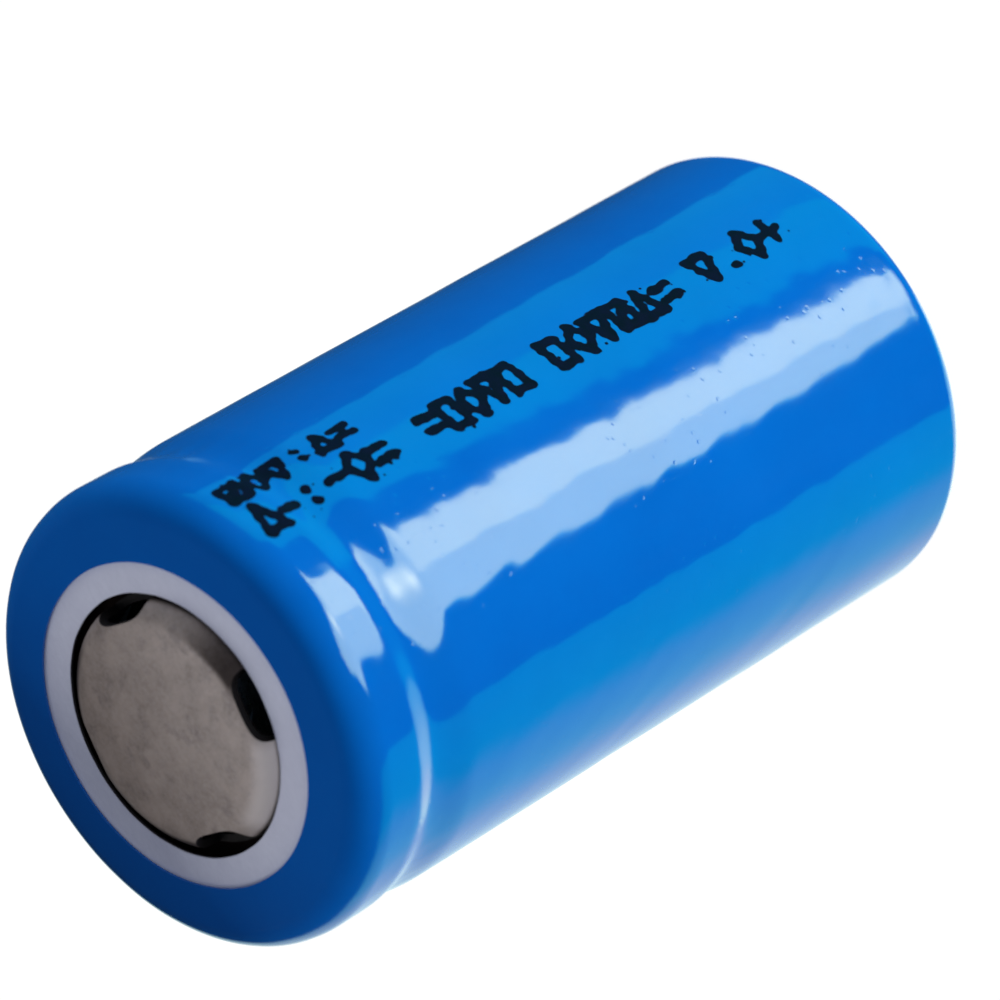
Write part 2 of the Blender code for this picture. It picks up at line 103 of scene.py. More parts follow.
def revolve(outline, sides, push=None):
    """Vertices and faces of a closed outline turned about Z. push(phi, k) gives
    extra (dr, dz) for each point of the outline at that angle."""
    p = np.asarray(outline, float)
    phi = np.arange(sides) * TAU / sides
    r = np.repeat(p[:, :1], sides, axis=1)
    z = np.repeat(p[:, 1:], sides, axis=1)
    if push is not None:
        dr, dz = push(phi)
        r, z = r + dr, z + dz
    verts, index = [], []
    count = 0
    for k in range(len(p)):
        if p[k, 0] < 1e-9:
            verts.append(np.array([[0.0, 0.0, z[k, 0]]]))
            index.append([count] * sides)
            count += 1
        else:
            verts.append(np.stack([r[k] * np.cos(phi), r[k] * np.sin(phi), z[k]], axis=1))
            index.append(list(range(count, count + sides)))
            count += sides
    verts = np.concatenate(verts) * MM
    faces = []
    open_ends = p[0, 0] < 1e-9 and p[-1, 0] < 1e-9
    last = len(p) - 1 if open_ends else len(p)
    for k in range(last):
        a, b = index[k], index[(k + 1) % len(p)]
        for i in range(sides):
            j = (i + 1) % sides
            quad = [a[i], a[j], b[j], b[i]]
            if a[i] == a[j]:
                quad = [a[i], b[j], b[i]]
            elif b[i] == b[j]:
                quad = [a[i], a[j], b[j]]
            faces.append(quad)
    return verts, faces


def turned(name, outline, finish, sides=192, push=None, sharp=32.0):
    verts, faces = revolve(outline, sides, push)
    return new_object(name, mesh_of(name, verts, faces), finish, sharp)


def arc(centre, radii, start_deg, end_deg, steps):
    a = np.radians(np.linspace(start_deg, end_deg, steps + 1))
    return [
        (centre[0] + radii[0] * cos(t), centre[1] + radii[1] * sin(t)) for t in a
    ]


def offset(line, distance):
    """The polyline moved to its left."""
    moved = []
    for i, here in enumerate(line):
        normals = []
        for a, b in ((i - 1, i), (i, i + 1)):
            if a < 0 or b >= len(line):
                continue
            run, rise = line[b][0] - line[a][0], line[b][1] - line[a][1]
            size = hypot(run, rise)
            if size > 1e-9:
                normals.append((-rise / size, run / size))
        nx, ny = sum(n[0] for n in normals), sum(n[1] for n in normals)
        scale = distance * len(normals) / (nx * nx + ny * ny)
        moved.append((here[0] + nx * scale, here[1] + ny * scale))
    return moved


def evaluated(obj):
    """The object's mesh with its modifiers applied, on a clean object."""
    graph = bpy.context.evaluated_depsgraph_get()
    mesh = bpy.data.meshes.new_from_object(obj.evaluated_get(graph))
    old = obj.data
    obj.modifiers.clear()
    obj.data = mesh
    bpy.data.meshes.remove(old)
    return obj


# -------------------------------------------------------------- smooth variation
class Ripple:
    """A seeded sum of waves over a cylinder: whole waves round it, free ones along it."""

    def __init__(self, seed, count, round_waves, along_mm, size):
        rng = np.random.default_rng(seed)
        self.m = rng.integers(round_waves[0], round_waves[1] + 1, count)
        length = rng.uniform(*along_mm, count)
        self.k = TAU / length * rng.choice([-1, 1], count)
        self.phase = rng.uniform(0, TAU, count)
        self.size = size / sqrt(count / 2)

    def __call__(self, phi, z):
        phi, z = np.broadcast_arrays(phi, z)
        total = np.zeros(phi.shape)
        for m, k, a in zip(self.m, self.k, self.phase):
            total += np.cos(m * phi + k * z + a)
        return total * self.size


def bump(x, centre, width):
    return np.exp(-(((x - centre) / width) ** 2))


def angle_from(phi, centre_deg):
    return np.degrees((phi - radians(centre_deg) + pi) % TAU - pi)


# -------------------------------------------------------------------- materials
def nodes_of(name):
    made = bpy.data.materials.new(name)
    made.use_nodes = True
    tree = made.node_tree
    return made, tree, tree.nodes["Principled BSDF"]


def put(tree, kind, inputs=None, **settings):
    node = tree.nodes.new(kind)
    for key, value in settings.items():
        setattr(node, key, value)
    for key, value in (inputs or {}).items():
        socket = node.inputs[key]
        if isinstance(value, bpy.types.NodeSocket):
            tree.links.new(value, socket)
        else:
            socket.default_value = value
    return node


def math(tree, operation, a, b=0.5, c=0.5, clamp=False):
    node = tree.nodes.new("ShaderNodeMath")
    node.operation = operation
    node.use_clamp = clamp
    for socket, value in zip(node.inputs, (a, b, c)):
        if isinstance(value, bpy.types.NodeSocket):
            tree.links.new(value, socket)
        else:
            socket.default_value = value
    return node.outputs[0]


def noise(tree, where, scale, detail=2.0, rough=0.5, distortion=0.0):
    return put(
        tree,
        "ShaderNodeTexNoise",
        {"Vector": where, "Scale": scale, "Detail": detail, "Roughness": rough, "Distortion": distortion},
    ).outputs["Fac"]


def span(tree, value, low, high, to_low=0.0, to_high=1.0, smooth=False):
    node = put(
        tree,
        "ShaderNodeMapRange",
        {"Value": value, "From Min": low, "From Max": high, "To Min": to_low, "To Max": to_high},
    )
    if smooth:
        node.interpolation_type = "SMOOTHSTEP"
    return node.outputs[0]


def mix(tree, share, a, b, blend="MIX"):
    node = tree.nodes.new("ShaderNodeMix")
    node.data_type = "RGBA"
    node.blend_type = blend
    node.clamp_factor = True
    for socket, value in zip((node.inputs[0], node.inputs[6], node.inputs[7]), (share, a, b)):
        if isinstance(value, bpy.types.NodeSocket):
            tree.links.new(value, socket)
        elif isinstance(value, (tuple, list)):
            socket.default_value = (*value, 1.0) if len(value) == 3 else value
        else:
            socket.default_value = value
    return node.outputs[2]


def stretched(tree, where, scale):
    return put(tree, "ShaderNodeMapping", {"Vector": where, "Scale": scale}).outputs[0]


def position(tree):
    return tree.nodes.new("ShaderNodeTexCoord").outputs["Object"]


def polar(tree, where, radius_mm):
    """(arc length, height, radius) in metres: a texture space that wraps a cylinder."""
    parts = put(tree, "ShaderNodeSeparateXYZ", {"Vector": where})
    turn = math(tree, "ARCTAN2", parts.outputs[1], parts.outputs[0])
    along = math(tree, "MULTIPLY", turn, radius_mm * MM)
    r = math(
        tree,
        "SQRT",
        math(
            tree,
            "ADD",
            math(tree, "MULTIPLY", parts.outputs[0], parts.outputs[0]),
            math(tree, "MULTIPLY", parts.outputs[1], parts.outputs[1]),
        ),
    )
    return put(
        tree, "ShaderNodeCombineXYZ", {"X": along, "Y": parts.outputs[2], "Z": r}
    ).outputs[0]


def bump_node(tree, height, strength, distance_mm, normal=None):
    inputs = {"Height": height, "Strength": strength, "Distance": distance_mm * MM}
    if normal is not None:
        inputs["Normal"] = normal
    return put(tree, "ShaderNodeBump", inputs).outputs["Normal"]


def film_material():
    made, tree, shader = nodes_of("shrink_film_blue")
    where = position(tree)
    big = noise(tree, where, 160.0, 3.0, 0.55)
    fine = noise(tree, where, 2600.0, 3.0, 0.6)
    colour = mix(tree, span(tree, big, 0.3, 0.7), (0.0, 0.109, 0.468), (0.0, 0.125, 0.515))
    colour = mix(tree, span(tree, fine, 0.35, 0.75, 0.0, 0.10), colour, (0.0, 0.155, 0.55))
    tree.links.new(colour, shader.inputs["Base Color"])
    smear = noise(tree, stretched(tree, where, (1.0, 1.0, 0.25)), 900.0, 4.0, 0.6)
    tree.links.new(span(tree, smear, 0.3, 0.75, 0.055, 0.10), shader.inputs["Roughness"])
    shader.inputs["IOR"].default_value = 1.50
    shader.inputs["Specular Tint"].default_value = (0.80, 1.0, 1.0, 1.0)
    peel = noise(tree, where, 1500.0, 2.0, 0.5)
    grit = put(tree, "ShaderNodeTexVoronoi", {"Vector": where, "Scale": 1900.0})
    speck = span(tree, grit.outputs["Distance"], 0.10, 0.19, 1.0, 0.0, True)
    patch = span(tree, noise(tree, where, 120.0, 1.0), 0.45, 0.56)
    height = math(
        tree,
        "ADD",
        math(tree, "MULTIPLY", peel, 0.35),
        math(tree, "MULTIPLY", math(tree, "MULTIPLY", speck, patch), -0.62),
    )
    tree.links.new(bump_node(tree, height, 0.35, 0.012), shader.inputs["Normal"])
    return made


def washer_material():
    made, tree, shader = nodes_of("washer_paper")
    where = position(tree)
    fibres = noise(tree, stretched(tree, where, (1.0, 2.2, 1.0)), 2600.0, 4.0, 0.65, 0.6)
    cloud = noise(tree, where, 420.0, 2.0)
    colour = mix(tree, span(tree, cloud, 0.3, 0.7), (0.83, 0.83, 0.925), (0.90, 0.90, 0.985))
    colour = mix(tree, span(tree, fibres, 0.30, 0.70, 0.0, 0.35), colour, (0.70, 0.70, 0.79))
    # painted shade: the lower part of the washer, its hole wall and underside, is painted near black for the shade in
    # the gap under the cap
    height = put(tree, "ShaderNodeSeparateXYZ", {"Vector": where}).outputs[2]
    colour = mix(tree, span(tree, height, 34.340 * MM, 34.354 * MM, 0.96, 0.0), colour, (0.020, 0.012, 0.011))
    tree.links.new(colour, shader.inputs["Base Color"])
    shader.inputs["Roughness"].default_value = 0.72
    shader.inputs["IOR"].default_value = 1.35
    tree.links.new(bump_node(tree, fibres, 0.5, 0.02), shader.inputs["Normal"])
    return made


def cap_material():
    made, tree, shader = nodes_of("cap_nickel_mottled")
    where = position(tree)
    cloud = noise(tree, where, 900.0, 5.0, 0.66, 0.3)
    grain = noise(tree, where, 6500.0, 3.0, 0.6)
    stain = noise(tree, stretched(tree, where, (1.0, 1.0, 1.0)), 1500.0, 3.0, 0.55)
    colour = mix(tree, span(tree, cloud, 0.32, 0.68), (0.370, 0.305, 0.258), (0.59, 0.495, 0.425))
    colour = mix(tree, span(tree, stain, 0.54, 0.72, 0.0, 0.62), colour, (0.25, 0.205, 0.19))
    colour = mix(tree, span(tree, grain, 0.38, 0.70, 0.0, 0.40), colour, (0.62, 0.55, 0.51))
    parts = put(tree, "ShaderNodeSeparateXYZ", {"Vector": where})
    angle = math(tree, "MULTIPLY", math(tree, "ARCTAN2", parts.outputs[1], parts.outputs[0]), 180 / pi)
    flat = math(tree, "MULTIPLY", parts.outputs[0], parts.outputs[0])
    radius = math(tree, "SQRT", math(tree, "ADD", flat, math(tree, "MULTIPLY", parts.outputs[1], parts.outputs[1])))
    rim = span(tree, radius, 4.05 * MM, 4.34 * MM, 0.0, 1.0, True)
    far_rim = span(tree, radius, 4.28 * MM, 4.62 * MM, 0.0, 1.0, True)
    # Painted highlight: this mask picks the side of the cap whose edge is painted pale beige, standing in for a soft
    # reflection.
    painted_highlight_side = math(
        tree,
        "MULTIPLY",
        span(tree, angle, -172.0, -158.0, 0.0, 1.0, True),
        span(tree, angle, -122.0, -110.0, 1.0, 0.0, True),
    )
    # Painted shade: the cap is painted near black below its top edge, for the shade in the well under the washer; on
    # the highlighted side this starts lower.
    drop = math(tree, "SUBTRACT", parts.outputs[2], math(tree, "MULTIPLY", painted_highlight_side, -0.55 * MM))
    depth = span(tree, drop, 34.05 * MM, 34.45 * MM, 1.0, 0.0, True)
    # Painted shade: the edge facing the camera is darkened between these angles, standing in for the dark gap it
    # reflects.
    painted_wall_shade = span(tree, angle, -36.0, -80.0, 0.0, 1.0, True)
    painted_wall_shade = math(tree, "MULTIPLY", painted_wall_shade, span(tree, angle, -96.0, -86.0, 0.0, 1.0))
    # Painted shade: the edge on the far side is darkened, for the shadow in the gap there.
    far = span(tree, math(tree, "ABSOLUTE", math(tree, "SUBTRACT", angle, 100.0)), 60.0, 88.0, 1.0, 0.0, True)
    shade = math(tree, "MAXIMUM", math(tree, "MULTIPLY", rim, painted_wall_shade), math(tree, "MULTIPLY", far_rim, far))
    # Painted highlight: pale beige mixed into the colour near the edge on that side.
    painted_highlight = math(tree, "MULTIPLY", painted_highlight_side, span(tree, radius, 3.9 * MM, 4.55 * MM, 0.0, 0.9, True))
    colour = mix(tree, painted_highlight, colour, (0.92, 0.82, 0.75))
    shade = math(tree, "MAXIMUM", math(tree, "MULTIPLY", shade, 0.86), math(tree, "MULTIPLY", depth, 0.98), clamp=True)
    # Painted shade: the cap darkens towards +y, the side away from the camera.
    away = span(tree, parts.outputs[1], -3.8 * MM, 3.2 * MM, 0.0, 0.92)
    colour = mix(tree, away, colour, (0.52, 0.485, 0.46), "MULTIPLY")
    # The painted shade is mixed into the colour as near black.
    colour = mix(tree, shade, colour, (0.016, 0.009, 0.008))
    tree.links.new(colour, shader.inputs["Base Color"])
    tree.links.new(span(tree, cloud, 0.3, 0.7, 0.46, 0.56), shader.inputs["Roughness"])
    shader.inputs["Metallic"].default_value = 0.16
    tree.links.new(span(tree, shade, 0.0, 0.6, 0.5, 0.02), shader.inputs["Specular IOR Level"])
    rounded = put(tree, "ShaderNodeBevel", {"Radius": 0.035 * MM}, samples=4).outputs[0]
    height = math(tree, "ADD", math(tree, "MULTIPLY", cloud, 0.8), math(tree, "MULTIPLY", grain, 0.25))
    tree.links.new(bump_node(tree, height, 0.30, 0.02, rounded), shader.inputs["Normal"])
    return made


def metal_material(name, light, dark, roughness, spun=False, scale=1.0, metallic=1.0):
    """Drawn, rolled or turned metal: fine lines one way and clouds."""
    made, tree, shader = nodes_of(name)
    where = position(tree)
    if spun:
        space = polar(tree, where, 9.0)
        lines = noise(tree, stretched(tree, space, (0.06, 1.0, 1.0)), 9000.0 * scale, 3.0, 0.6)
    else:
        lines = noise(tree, stretched(tree, where, (1.0, 1.0, 0.05)), 7000.0 * scale, 3.0, 0.6)
    cloud = noise(tree, where, 450.0 * scale, 4.0, 0.6)
    colour = mix(tree, span(tree, cloud, 0.3, 0.7), dark, light)
    colour = mix(tree, span(tree, lines, 0.3, 0.7, 0.0, 0.25), colour, dark)
    tree.links.new(colour, shader.inputs["Base Color"])
    shader.inputs["Metallic"].default_value = metallic
    rough = math(tree, "ADD", span(tree, lines, 0.3, 0.7, -0.05, 0.05), span(tree, cloud, 0.3, 0.7, roughness - 0.04, roughness + 0.05))
    tree.links.new(rough, shader.inputs["Roughness"])
    tree.links.new(bump_node(tree, lines, 0.22, 0.01), shader.inputs["Normal"])
    return made


def plastic_material(name, light, dark, roughness, bump_mm=0.01, scale=1.0, spread=0.05, through=0.0):
    """Moulded or pressed material: low clouds of colour and a fine skin."""
    made, tree, shader = nodes_of(name)
    where = position(tree)
    cloud = noise(tree, where, 380.0 * scale, 4.0, 0.6)
    skin = noise(tree, where, 4200.0 * scale, 4.0, 0.65)
    colour = mix(tree, span(tree, cloud, 0.3, 0.7), dark, light)
    colour = mix(tree, span(tree, skin, 0.4, 0.8, 0.0, 0.3), colour, dark)
    tree.links.new(colour, shader.inputs["Base Color"])
    tree.links.new(span(tree, skin, 0.3, 0.7, roughness - spread, roughness + spread), shader.inputs["Roughness"])
    if through:
        shader.inputs["Subsurface Weight"].default_value = through
        shader.inputs["Subsurface Radius"].default_value = (0.0003, 0.0003, 0.0003)
    tree.links.new(bump_node(tree, skin, 0.35, bump_mm), shader.inputs["Normal"])
    return made


def ink_material():
    made, tree, shader = nodes_of("jet_ink")
    where = position(tree)
    blot = noise(tree, where, 2200.0, 3.0, 0.6)
    colour = mix(tree, span(tree, blot, 0.35, 0.75), (0.0012, 0.0018, 0.009), (0.0018, 0.0040, 0.021))
    tree.links.new(colour, shader.inputs["Base Color"])
    tree.links.new(span(tree, blot, 0.3, 0.7, 0.35, 0.55), shader.inputs["Roughness"])
    shader.inputs["IOR"].default_value = 1.30
    shader.inputs["Specular IOR Level"].default_value = 0.12
    shader.inputs["Specular Tint"].default_value = (0.6, 0.6, 1.0, 1.0)
    tree.links.new(bump_node(tree, blot, 0.4, 0.01), shader.inputs["Normal"])
    # the ink thins out towards its edge
    cover = put(tree, "ShaderNodeAttribute", attribute_name="ink").outputs["Fac"]
    tree.links.new(span(tree, cover, 0.02, 0.62, 0.0, 1.0, True), shader.inputs["Alpha"])
    return made


FILM = film_material()
WASHER = washer_material()
CAP = cap_material()
# Painted shade: the faces cut by the vent windows are near black, standing in for the shade inside the windows.
CUT_EDGE_SHADE = plastic_material("cap_cut_edge_painted_shade", (0.020, 0.013, 0.012), (0.010, 0.007, 0.006), 0.6, 0.01)
CAN = metal_material("can_nickel_drawn", (0.62, 0.60, 0.57), (0.47, 0.45, 0.42), 0.30, spun=True)
INK = ink_material()


# ----------------------------------------------------------------- film sleeve
FILM_THICK = 0.09
TOP_Z = 34.50
EDGE_R = 6.36
R = 9.15
GROOVE_Z = 30.60
FACE_DEG = -90.0  # the side of the cell that faces the camera


def film_line():
    """Outer line of the film as laid on the cell, without its ripples."""
    corner = 0.74
    top_in, top_down = 1.15, 1.46
    line = [(6.60, 0.02), (7.4, 0.02)]
    line += arc((R - corner, 0.02 + corner), (corner, corner), -90, 0, 14)
    line += [(R, z) for z in np.arange(1.0, TOP_Z - top_down, 0.14)]
    line += arc((R - top_in, TOP_Z - top_down), (top_in, top_down), 0, 90, 44)
    line += [(7.3, TOP_Z), (EDGE_R + 0.35, TOP_Z), (EDGE_R, TOP_Z - 0.004)]
    return line


LUMPS = Ripple(11, 14, (2, 7), (9.0, 26.0), 0.0046)
WAVES = Ripple(23, 34, (8, 22), (3.0, 8.0), 0.0024)
CHOP = Ripple(13, 30, (12, 34), (1.4, 3.6), 0.0011)
PULLS = Ripple(5, 26, (26, 64), (3.0, 9.0), 0.0050)
PUCKERS = Ripple(8, 16, (16, 44), (60.0, 90.0), 0.010)


def film_depth(phi, z):
    """How far the film stands out (+) or in (-) of its laid line, on the side wall."""
    away = z - GROOVE_Z
    share = np.clip(np.where(away > 0, away / 1.20, -away / 2.05), 0, 1)
    groove = -0.158 * (1 + np.cos(pi * share)) / 2
    near = bump(z, GROOVE_Z, 1.25)
    total = groove * (1 + 0.08 * np.cos(3 * phi + 0.8) + 0.05 * np.cos(7 * phi))
    total = total + LUMPS(phi, z) + WAVES(phi, z) + CHOP(phi, z)
    total = total + PULLS(phi, z) * near * (0.55 + 0.45 * np.cos(2 * phi + 1.1))
    # two short creases where the film pulls into the groove, on the camera's side
    side = angle_from(phi, FACE_DEG)
    for at, height, lean, width, length, size in (
        (8.0, 29.70, 0.0, 1.8, 0.45, -0.006),
        (-6.0, 29.70, 0.0, 3.0, 0.60, 0.006),
        (-11.0, 32.60, 0.0, 1.6, 0.35, -0.007),
        (-4.0, 32.20, 0.0, 2.2, 0.40, 0.004),
        (14.0, 32.40, 0.0, 1.5, 0.40, -0.005),
        (23.0, 30.4, -1.0, 1.8, 0.9, 0.008),
        (-31.0, 30.6, 1.0, 2.4, 0.9, 0.008),
        (-3.0, 1.55, 0.0, 2.0, 0.55, 0.006),
        (2.5, 2.30, 0.0, 1.7, 0.50, -0.006),
        (7.0, 1.60, 0.0, 2.2, 0.50, 0.006),
        (0.5, 3.40, 0.0, 2.4, 0.70, 0.004),
    ):
        across = side - at - lean * (z - height) * 2.0
        total = total + size * np.exp(-((across / width) ** 2)) * bump(z, height, length)
    return total


def film_push(points, normals, depth_scale):
    p, n = np.asarray(points, float), np.asarray(normals, float)

    def push(phi):
        z = p[:, 1][:, None]
        r = p[:, 0][:, None]
        a = phi[None, :]
        wall = np.clip((r - 7.6) / 1.3, 0, 1) ** 2
        depth = film_depth(a, z) * wall
        low = np.clip((1.4 - z) / 1.2, 0, 1) * np.clip((9.0 - r) / 1.6, 0.25, 1)
        depth = depth * np.clip(z / 1.2, 0.25, 1) + np.abs(PUCKERS(a, z)) * -0.35 * low
        depth = np.minimum(depth, 0.012) * depth_scale
        dr, dz = n[:, 0][:, None] * depth, n[:, 1][:, None] * depth
        # the two open edges wander a little
        top_edge = np.clip((7.1 - r) / 0.8, 0, 1) * (z > 20)
        low_edge = np.clip((7.3 - r) / 0.7, 0, 1) * (z < 20)
        wander = (
            0.112 * np.cos(a - radians(76)) + 0.097 * np.cos(2 * a - radians(170))
            + 0.010 * np.cos(5 * a + 2.0) + 0.006 * np.cos(11 * a)
        )
        wander_low = 0.07 * np.cos(a - 1.0) + 0.04 * np.cos(3 * a + 0.5) + 0.02 * np.cos(9 * a + 1.0)
        dr = dr + top_edge * (wander + 0.108) + low_edge * wander_low
        return dr, dz

    return push


def make_film():
    outside = film_line()
    inside = offset(outside, FILM_THICK)[::-1]
    inside = [inside[0]] + [p for p in inside[1:-1:3]] + [inside[-1]]
    n_out = line_normals(outside)
    n_in = np.zeros((len(inside), 2))
    # the inner side follows the outer one where the cell leaves room
    n_in[:, 0] = 1.0
    points = outside + inside
    normals = np.concatenate([n_out, n_in])
    sides = 640
    obj = turned("shrink_sleeve", points, FILM, sides, film_push(points, normals, 1.0), 40.0)
    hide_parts("wrap_sleeve")
    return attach(obj, "cell")


# ------------------------------------------------------------ washer, cap, can
def make_washer():
    low, high, inner, outer, e = 34.22, 34.37, 5.16, 7.40, 0.025
    outline = (
        [(inner + e, low), (outer - e, low), (outer, low + e), (outer, high - e), (outer - e, high)]
        + [(6.2, high), (5.6, high)]
        + [(inner + e, high), (inner, high - e), (inner, low + e)]
    )
    p = np.asarray(outline)

    def push(phi):
        r, z = p[:, 0][:, None], p[:, 1][:, None]
        a = phi[None, :]
        inward = np.clip((6.4 - r) / 1.2, 0, 1)
        dz = inward * (0.008 * np.cos(2 * a + 0.6) + 0.004 * np.cos(5 * a))
        dr = inward * (0.012 * np.cos(a + 0.3) + 0.006 * np.cos(9 * a + 1) + 0.004 * np.cos(23 * a))
        # the hole sits a little to one side and isn't quite round
        hole = 0.022 * np.cos(a) + 0.206 * np.sin(a) - 0.015 * np.cos(2 * a) - 0.043 * np.sin(2 * a)
        dr = dr + np.clip((6.2 - r) / 0.9, 0, 1) * hole
        return dr + 0 * z, dz + 0 * r

    obj = turned("paper_washer", outline, WASHER, 256, push)
    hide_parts("top_insulator_ring")
    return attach(obj, "cell")


CAP_TOP = 35.0
CAP_R = 4.88
CAP_BASE = 4.93
CAP_SHEET = 0.30
STACK_R = 7.90
FLANGE = (32.90, 33.30)
WINDOWS_DEG = [-100.0 + 90 * i for i in range(4)]
WINDOW = (1.05, 1.46)  # half sizes, across and round the cap
WINDOW_IN = (4.20, 4.22, 4.26, 4.04)


def make_cap():
    edge, drop = 0.92, 0.72
    low, high = FLANGE
    outside = [(STACK_R, low), (STACK_R, high), (CAP_BASE + 0.12, high)]
    outside += arc((CAP_BASE + 0.12, high + 0.12), (0.12, 0.12), -90, -180, 4)[1:]
    outside += arc((CAP_R - edge, CAP_TOP - drop), (edge, drop), 0, 90, 22)
    outside += [(3.5, CAP_TOP), (3.1, CAP_TOP), (2.6, CAP_TOP), (1.8, CAP_TOP), (0.9, CAP_TOP), (0.0, CAP_TOP)]
    inside = [(0.0, CAP_TOP - CAP_SHEET), (3.0, CAP_TOP - CAP_SHEET)]
    inside += arc((CAP_R - edge, CAP_TOP - drop), (edge - CAP_SHEET, drop - CAP_SHEET), 90, 0, 5)
    inside += [(CAP_BASE - CAP_SHEET, low)]
    # the outline starts and ends on the axis, so it runs from the inner ceiling out and over the top
    outline = inside + outside
    outline = [(r, z) for r, z in outline]
    p = np.asarray(outline)

    def push(phi):
        r, z = p[:, 0][:, None], p[:, 1][:, None]
        a = phi[None, :]
        top = (z > CAP_TOP - 0.05) & (r > 1e-9)
        wobble = 0.0035 * np.cos(a * 2 + r) * np.minimum(r / 3.0, 1) + 0.002 * np.cos(3 * a + 2.1 * r)
        dome = -0.045 * (r / 4.0) ** 2 * (z > CAP_TOP - drop)
        return 0 * a * r, np.where(top, -0.004 + wobble, 0.0) + dome

    cap = turned("vented_cap", outline, CAP, 256, push, 34.0)
    for i, at in enumerate(WINDOWS_DEG):
        # a slot with rounded ends, cut straight down through the edge of the top
        bm = bmesh.new()
        bmesh.ops.create_cone(
            bm, cap_ends=True, segments=72, radius1=1.0, radius2=1.0, depth=1.0
        )
        for vert in bm.verts:
            squared = (abs(vert.co.x) ** 3.4 + abs(vert.co.y) ** 3.4) ** (-1 / 3.4)
            vert.co.x, vert.co.y = vert.co.x * squared, vert.co.y * squared
        bmesh.ops.scale(bm, vec=Vector((WINDOW[0], WINDOW[1], 1.75)) * MM, verts=bm.verts[:])
        tool = bpy.data.objects.new(f"window_tool_{i}", bpy.data.meshes.new(f"window_tool_{i}"))
        bm.to_mesh(tool.data)
        bm.free()
        # the cut faces take the near-black painted shade finish
        tool.data.materials.append(CUT_EDGE_SHADE)
        bpy.context.scene.collection.objects.link(tool)
        turn = radians(at)
        middle = (WINDOW_IN[i] + WINDOW[0]) * MM
        tool.location = (middle * cos(turn), middle * sin(turn), (33.62 + 0.875) * MM)
        tool.rotation_euler = (0, 0, turn)
        cut = cap.modifiers.new(f"window_{i}", "BOOLEAN")
        cut.operation, cut.solver, cut.object = "DIFFERENCE", "EXACT", tool
        cut.material_mode = "TRANSFER"
    bpy.context.view_layer.update()
    evaluated(cap)
    cap.data.set_sharp_from_angle(angle=radians(34))
    for i in range(4):
        tool = bpy.data.objects[f"window_tool_{i}"]
        bpy.data.objects.remove(tool, do_unlink=True)
    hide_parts("positive_cap")
    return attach(cap, "cell")


def bead_depth_at(z):
    away = abs(z - 30.55)
    if away <= 0.25:
        return 0.90
    share = min(1.0, (away - 0.25) / 1.40)
    return 0.90 * (1 + cos(pi * share)) / 2


def can_side(steps=40):
    corner = 0.50
    line = [(5.98, 0.0), (6.02, 0.006), (6.18, 0.143), (6.22, 0.15)]
    line += arc((9.0 - corner, 0.15 + corner), (corner, corner), -90, 0, 10)
    for i in range(steps + 1):
        z = 28.90 + 3.30 * i / steps
        line.append((9.0 - bead_depth_at(z), z))
    line += arc((9.0 - 1.15, 32.25), (1.15, 1.95), 0, 90, 20)
    line += [(7.02, 34.20), (6.96, 34.17)]
    return line


def make_can():
    side = can_side()
    inside = offset(side[4:], 0.25)[::-1]
    rings = [(0.0, 0.0), (1.2, 0.0), (2.6, 0.0), (4.2, 0.0), (5.4, 0.0)]
    outline = rings + side + inside + [(0.0, 0.40)]
    can = turned("drawn_can", outline, CAN, 256, None, 36.0)
    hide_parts("steel_can")
    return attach(can, "cell")


# ------------------------------------------------------------------ printed marks
MARKS = {
    "plus": [((0.08, 0.75), (0.92, 0.75)), ((0.5, 0.22), (0.5, 1.28))],
    "minus": [((0.12, 0.75), (0.88, 0.75))],
    "equals": [((0.1, 0.42), (0.9, 0.42)), ((0.1, 1.08), (0.9, 1.08))],
    "box": [((0.10, 0.10), (0.90, 0.10)), ((0.90, 0.10), (0.90, 1.40)), ((0.90, 1.40), (0.10, 1.40)), ((0.10, 1.40), (0.10, 0.10))],
    "diamond": [((0.5, 0.02), (0.98, 0.75)), ((0.98, 0.75), (0.5, 1.48)), ((0.5, 1.48), (0.02, 0.75)), ((0.02, 0.75), (0.5, 0.02))],
    "wedge": [((0.04, 0.10), (0.96, 0.10)), ((0.96, 0.10), (0.5, 1.42)), ((0.5, 1.42), (0.04, 0.10))],
    "drop": [((0.04, 1.40), (0.96, 1.40)), ((0.96, 1.40), (0.5, 0.08)), ((0.5, 0.08), (0.04, 1.40))],
    "point": [((0.44, 0.26), (0.56, 0.26))],
    "points": [((0.46, 0.40), (0.54, 0.40)), ((0.46, 1.10), (0.54, 1.10))],
    "cross": [((0.10, 0.20), (0.90, 1.30)), ((0.10, 1.30), (0.90, 0.20))],
    "crossed_box": [((0.06, 0.14), (0.94, 0.14)), ((0.94, 0.14), (0.94, 1.36)), ((0.94, 1.36), (0.06, 1.36)), ((0.06, 1.36), (0.06, 0.14)), ((0.06, 0.14), (0.94, 1.36))],
}
ROWS = (
    # centre angle, height of a mark, stroke radius, (top z, bottom z, marks)
    (-58.9, 1.50, 0.160, (
        (33.0, 25.7, ("wedge", "minus", "points", "minus", "diamond", "equals")),
        (24.2, 18.5, ("equals", "box", "diamond", "drop", "box")),
        (17.1, 9.7, ("box", "diamond", "drop", "crossed_box", "wedge", "equals")),
        (8.6, 3.5, ("drop", "point", "diamond", "plus")),
    )),
    (-48.2, 1.05, 0.142, (
        (32.9, 25.9, ("crossed_box", "diamond", "drop", "points", "wedge", "equals")),
    )),
)


INK_EDGE = 0.040  # the ink thins out over about twice this, in mm


